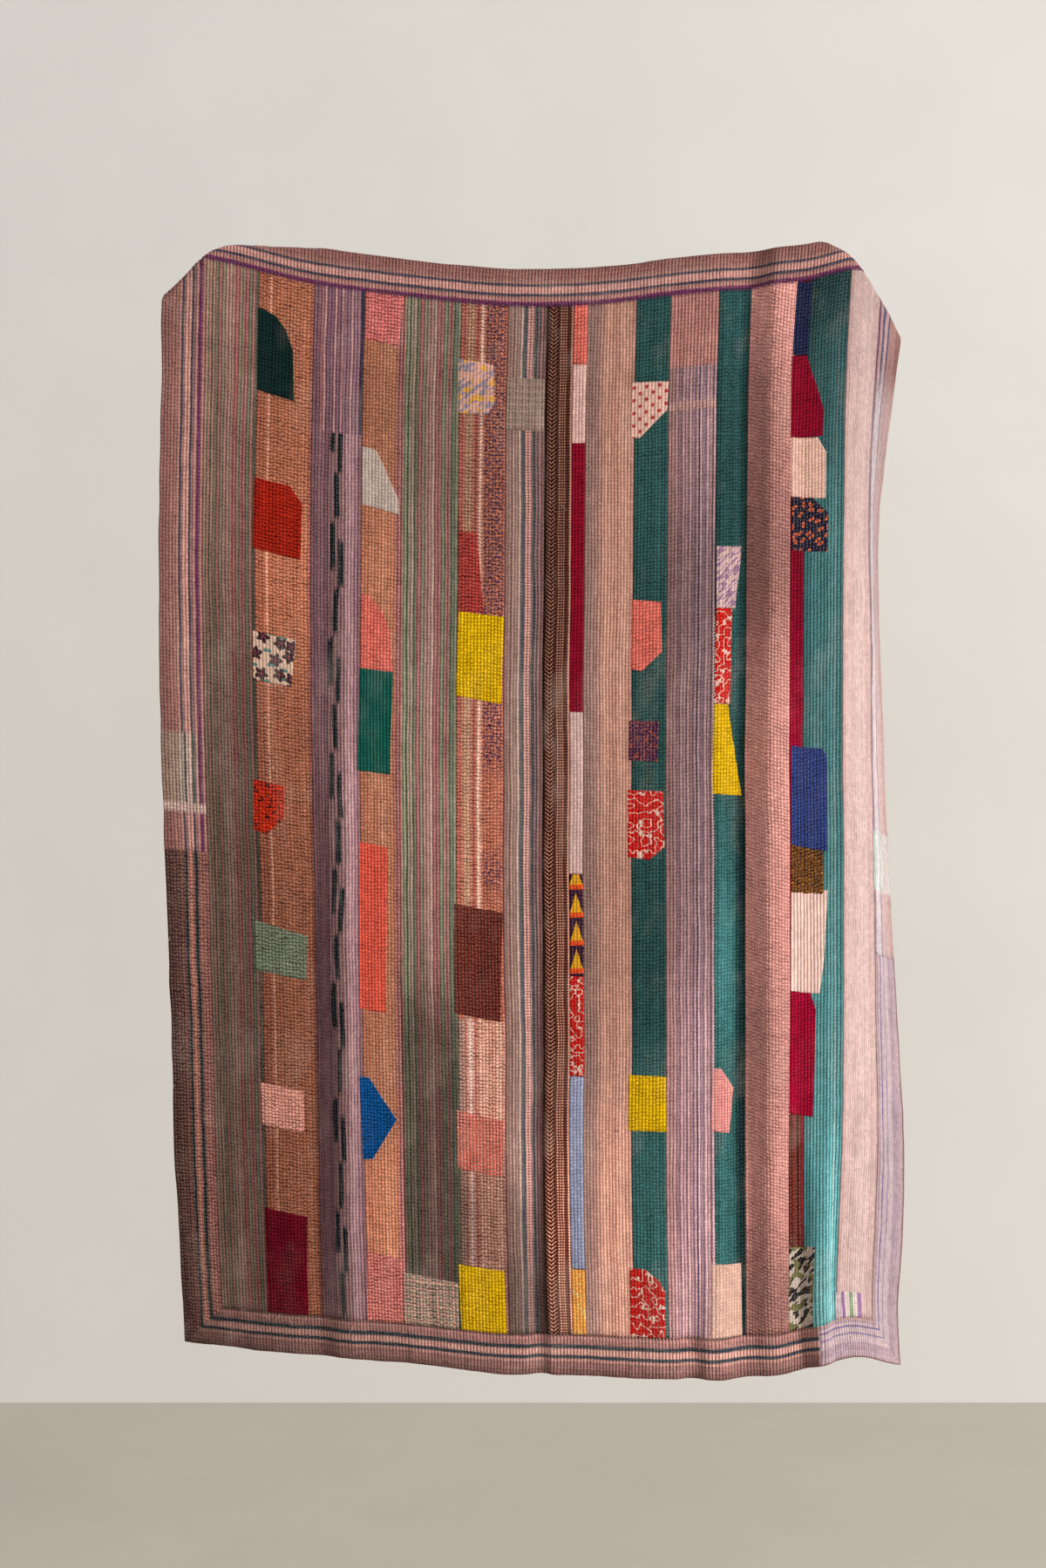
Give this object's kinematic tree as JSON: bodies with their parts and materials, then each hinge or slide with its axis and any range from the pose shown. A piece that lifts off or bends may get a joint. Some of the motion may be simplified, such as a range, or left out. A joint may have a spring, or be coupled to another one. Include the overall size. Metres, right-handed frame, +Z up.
{
  "type": "kantha patchwork quilt",
  "caption": "Hand-stitched kantha patchwork quilt of long strips in a pieced striped border, hanging by its top edge with its top corners turned back.",
  "frame": {"origin": "middle of the quilt's top edge, where it is held up", "axes": "+Z up along the strips, +X to the right as seen from the front, -Y out of the patchwork's face"},
  "size_m": [1.4035, 0.1656, 2.1206],
  "materials": {
    "sage_stripe": "matte",
    "terracotta": "matte",
    "rose": "matte",
    "mauve_stripe": "matte",
    "grey_mauve_stripe": "matte",
    "brown_twig": "matte",
    "narrow_pieces": "matte",
    "peach": "matte",
    "teal": "matte",
    "lavender_plaid": "matte",
    "mauve_pink": "matte",
    "pale_pink": "matte",
    "border_striped": "matte",
    "border_dark": "matte",
    "border_pale": "matte",
    "border_lavender": "matte"
  },
  "bodies": {
    "root": {"border_bottom": "border_striped", "border_bottom_right": "border_lavender", "border_left_lower": "border_dark", "border_left_upper": "border_striped", "border_right_lower": "border_lavender", "border_right_upper": "border_pale", "border_top": "border_striped", "strip_01_sage": "sage_stripe", "strip_02_terracotta": "terracotta", "strip_03_mauve": "mauve_stripe", "strip_04_terracotta": "terracotta", "strip_05_sage": "sage_stripe", "strip_06_rose": "rose", "strip_07_grey_mauve": "grey_mauve_stripe", "strip_08_brown_twig": "brown_twig", "strip_09_narrow": "narrow_pieces", "strip_10_peach": "peach", "strip_11_teal": "teal", "strip_12_lavender": "lavender_plaid", "strip_13_teal": "teal", "strip_14_mauve_pink": "mauve_pink", "strip_15_narrow": "narrow_pieces", "strip_16_teal": "teal", "strip_17_pale_pink": "pale_pink"}
  },
  "joints": []
}
